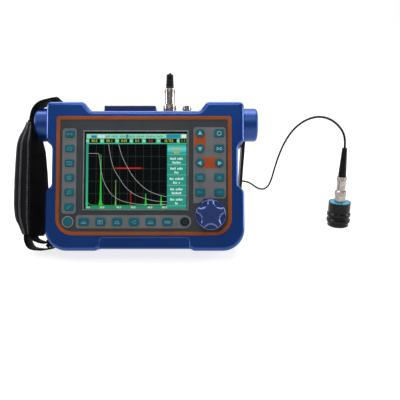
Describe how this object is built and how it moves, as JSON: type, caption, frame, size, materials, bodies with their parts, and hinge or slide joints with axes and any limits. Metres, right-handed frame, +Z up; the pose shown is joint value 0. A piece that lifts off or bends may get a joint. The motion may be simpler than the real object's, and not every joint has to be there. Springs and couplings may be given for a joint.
{
  "type": "ultrasonic flaw detector",
  "caption": "Portable ultrasonic flaw detector with a colour display, keypad, turning knob, folding bail stand, padded hand strap, and a contact probe on a coaxial lead.",
  "frame": {"origin": "on the floor under the middle of the instrument's box, the lead and probe left out", "axes": "+Z up, -Y the way the instrument's face looks, +X to the viewer's right"},
  "size_m": [0.411, 0.3377, 0.2011],
  "materials": {
    "case_blue": "fine moulded texture, satin",
    "cover_navy": "moulded, satin",
    "seal_rubber": "matt moulded rubber",
    "trim_orange": "satin moulded frame",
    "panel_grey": "printed film with a faint grain",
    "surround_grey": "printed film, fine grain",
    "key_teal": "moulded silicone, satin",
    "key_dark": "moulded silicone, satin",
    "bezel_silver": "brushed",
    "window_glass": "clear, polished",
    "display_module": "lit colour display",
    "circuit_board": "solder mask",
    "battery_wrap": "moulded",
    "screw_steel": "plated",
    "connector_nickel": "nickel plated",
    "stand_black": "black powder coat",
    "strap_webbing": "woven polyester webbing",
    "strap_cloth": "padded woven cloth with stitched edges",
    "lead_black": "smooth flexible jacket",
    "probe_black": "black anodised, turned",
    "probe_cyan": "coloured disc"
  },
  "bodies": {
    "instrument": {"front_housing": "case_blue", "rear_housing": "case_blue", "housing_gasket": "seal_rubber", "rubber_feet": "seal_rubber", "trim_frame": "trim_orange", "face_panel": "panel_grey", "key_surrounds": "surround_grey", "display_bezel": "bezel_silver", "display_window": "window_glass", "lcd_module": "display_module", "keypad_board": "circuit_board", "main_board": "circuit_board", "battery_pack": "battery_wrap", "battery_door": "case_blue", "case_screws": "screw_steel", "bnc_sockets": "connector_nickel", "port_block": "battery_wrap", "encoder": "screw_steel", "strap_anchors": "stand_black", "strap_webbing_top": "strap_webbing", "strap_webbing_low": "strap_webbing", "strap_pad": "strap_cloth", "pivot_bolts": "screw_steel", "port_hinge": "cover_navy", "lead_plugs": "connector_nickel", "lead_boots": "lead_black", "lead_drop": "lead_black", "lead_coil": "lead_black", "lead_run": "lead_black", "probe_case": "probe_black", "probe_cap": "probe_cyan", "probe_socket": "connector_nickel"},
    "stand": {"stand_bail": "stand_black", "stand_hubs": "case_blue"},
    "port_cover": {"port_cover": "cover_navy"},
    "encoder_knob": {"encoder_knob": "case_blue"},
    "key_left_1": {"key_left_1": "key_teal"},
    "key_left_2": {"key_left_2": "key_teal"},
    "key_left_3": {"key_left_3": "key_teal"},
    "key_left_4": {"key_left_4": "key_teal"},
    "key_left_5": {"key_left_5": "key_teal"},
    "key_left_6": {"key_left_6": "key_teal"},
    "key_enter": {"key_enter": "key_teal"},
    "key_row_1": {"key_row_1": "key_teal"},
    "key_row_2": {"key_row_2": "key_teal"},
    "key_row_3": {"key_row_3": "key_teal"},
    "key_row_4": {"key_row_4": "key_teal"},
    "key_row_5": {"key_row_5": "key_teal"},
    "key_row_6": {"key_row_6": "key_teal"},
    "key_power": {"key_power": "key_dark"},
    "key_up": {"key_up": "key_teal"},
    "key_ring": {"key_ring": "key_teal"},
    "key_down": {"key_down": "key_teal"},
    "key_cross": {"key_cross": "key_teal"},
    "key_left": {"key_left": "key_teal"},
    "key_right": {"key_right": "key_teal"},
    "key_gain": {"key_gain": "key_teal"},
    "key_select": {"key_select": "key_teal"},
    "key_back": {"key_back": "key_teal"},
    "key_record": {"key_record": "key_teal"}
  },
  "joints": [
    {"name": "stand_hinge", "type": "hinge", "parent": "instrument", "child": "stand", "pos_m": [0.0085, 0.005, 0.14207], "axis": [1, 0, 0], "range_deg": [-28, 25]},
    {"name": "port_cover_hinge", "type": "hinge", "parent": "instrument", "child": "port_cover", "pos_m": [-0.01015, 0.01707, 0.15286], "axis": [-1, 0, 0], "range_deg": [0, 90]},
    {"name": "encoder_turn", "type": "hinge", "parent": "instrument", "child": "encoder_knob", "pos_m": [0.0826, -0.05949, 0.05221], "axis": [0, -0.9336, 0.3584], "continuous": true},
    {"name": "key_left_1_press", "type": "slide", "parent": "instrument", "child": "key_left_1", "axis": [0, 0.9336, -0.3584], "range_m": [0, 0.0012], "stiffness_N_per_m": 900},
    {"name": "key_left_2_press", "type": "slide", "parent": "instrument", "child": "key_left_2", "axis": [0, 0.9336, -0.3584], "range_m": [0, 0.0012], "stiffness_N_per_m": 900},
    {"name": "key_left_3_press", "type": "slide", "parent": "instrument", "child": "key_left_3", "axis": [0, 0.9336, -0.3584], "range_m": [0, 0.0012], "stiffness_N_per_m": 900},
    {"name": "key_left_4_press", "type": "slide", "parent": "instrument", "child": "key_left_4", "axis": [0, 0.9336, -0.3584], "range_m": [0, 0.0012], "stiffness_N_per_m": 900},
    {"name": "key_left_5_press", "type": "slide", "parent": "instrument", "child": "key_left_5", "axis": [0, 0.9336, -0.3584], "range_m": [0, 0.0012], "stiffness_N_per_m": 900},
    {"name": "key_left_6_press", "type": "slide", "parent": "instrument", "child": "key_left_6", "axis": [0, 0.9336, -0.3584], "range_m": [0, 0.0012], "stiffness_N_per_m": 900},
    {"name": "key_enter_press", "type": "slide", "parent": "instrument", "child": "key_enter", "axis": [0, 0.9336, -0.3584], "range_m": [0, 0.0012], "stiffness_N_per_m": 900},
    {"name": "key_row_1_press", "type": "slide", "parent": "instrument", "child": "key_row_1", "axis": [0, 0.9336, -0.3584], "range_m": [0, 0.0012], "stiffness_N_per_m": 900},
    {"name": "key_row_2_press", "type": "slide", "parent": "instrument", "child": "key_row_2", "axis": [0, 0.9336, -0.3584], "range_m": [0, 0.0012], "stiffness_N_per_m": 900},
    {"name": "key_row_3_press", "type": "slide", "parent": "instrument", "child": "key_row_3", "axis": [0, 0.9336, -0.3584], "range_m": [0, 0.0012], "stiffness_N_per_m": 900},
    {"name": "key_row_4_press", "type": "slide", "parent": "instrument", "child": "key_row_4", "axis": [0, 0.9336, -0.3584], "range_m": [0, 0.0012], "stiffness_N_per_m": 900},
    {"name": "key_row_5_press", "type": "slide", "parent": "instrument", "child": "key_row_5", "axis": [0, 0.9336, -0.3584], "range_m": [0, 0.0012], "stiffness_N_per_m": 900},
    {"name": "key_row_6_press", "type": "slide", "parent": "instrument", "child": "key_row_6", "axis": [0, 0.9336, -0.3584], "range_m": [0, 0.0012], "stiffness_N_per_m": 900},
    {"name": "key_power_press", "type": "slide", "parent": "instrument", "child": "key_power", "axis": [0, 0.9336, -0.3584], "range_m": [0, 0.0012], "stiffness_N_per_m": 900},
    {"name": "key_up_press", "type": "slide", "parent": "instrument", "child": "key_up", "axis": [0, 0.9336, -0.3584], "range_m": [0, 0.0012], "stiffness_N_per_m": 900},
    {"name": "key_ring_press", "type": "slide", "parent": "instrument", "child": "key_ring", "axis": [0, 0.9336, -0.3584], "range_m": [0, 0.0012], "stiffness_N_per_m": 900},
    {"name": "key_down_press", "type": "slide", "parent": "instrument", "child": "key_down", "axis": [0, 0.9336, -0.3584], "range_m": [0, 0.0012], "stiffness_N_per_m": 900},
    {"name": "key_cross_press", "type": "slide", "parent": "instrument", "child": "key_cross", "axis": [0, 0.9336, -0.3584], "range_m": [0, 0.0012], "stiffness_N_per_m": 900},
    {"name": "key_left_press", "type": "slide", "parent": "instrument", "child": "key_left", "axis": [0, 0.9336, -0.3584], "range_m": [0, 0.0012], "stiffness_N_per_m": 900},
    {"name": "key_right_press", "type": "slide", "parent": "instrument", "child": "key_right", "axis": [0, 0.9336, -0.3584], "range_m": [0, 0.0012], "stiffness_N_per_m": 900},
    {"name": "key_gain_press", "type": "slide", "parent": "instrument", "child": "key_gain", "axis": [0, 0.9336, -0.3584], "range_m": [0, 0.0012], "stiffness_N_per_m": 900},
    {"name": "key_select_press", "type": "slide", "parent": "instrument", "child": "key_select", "axis": [0, 0.9336, -0.3584], "range_m": [0, 0.0012], "stiffness_N_per_m": 900},
    {"name": "key_back_press", "type": "slide", "parent": "instrument", "child": "key_back", "axis": [0, 0.9336, -0.3584], "range_m": [0, 0.0012], "stiffness_N_per_m": 900},
    {"name": "key_record_press", "type": "slide", "parent": "instrument", "child": "key_record", "axis": [0, 0.9336, -0.3584], "range_m": [0, 0.0012], "stiffness_N_per_m": 900}
  ]
}
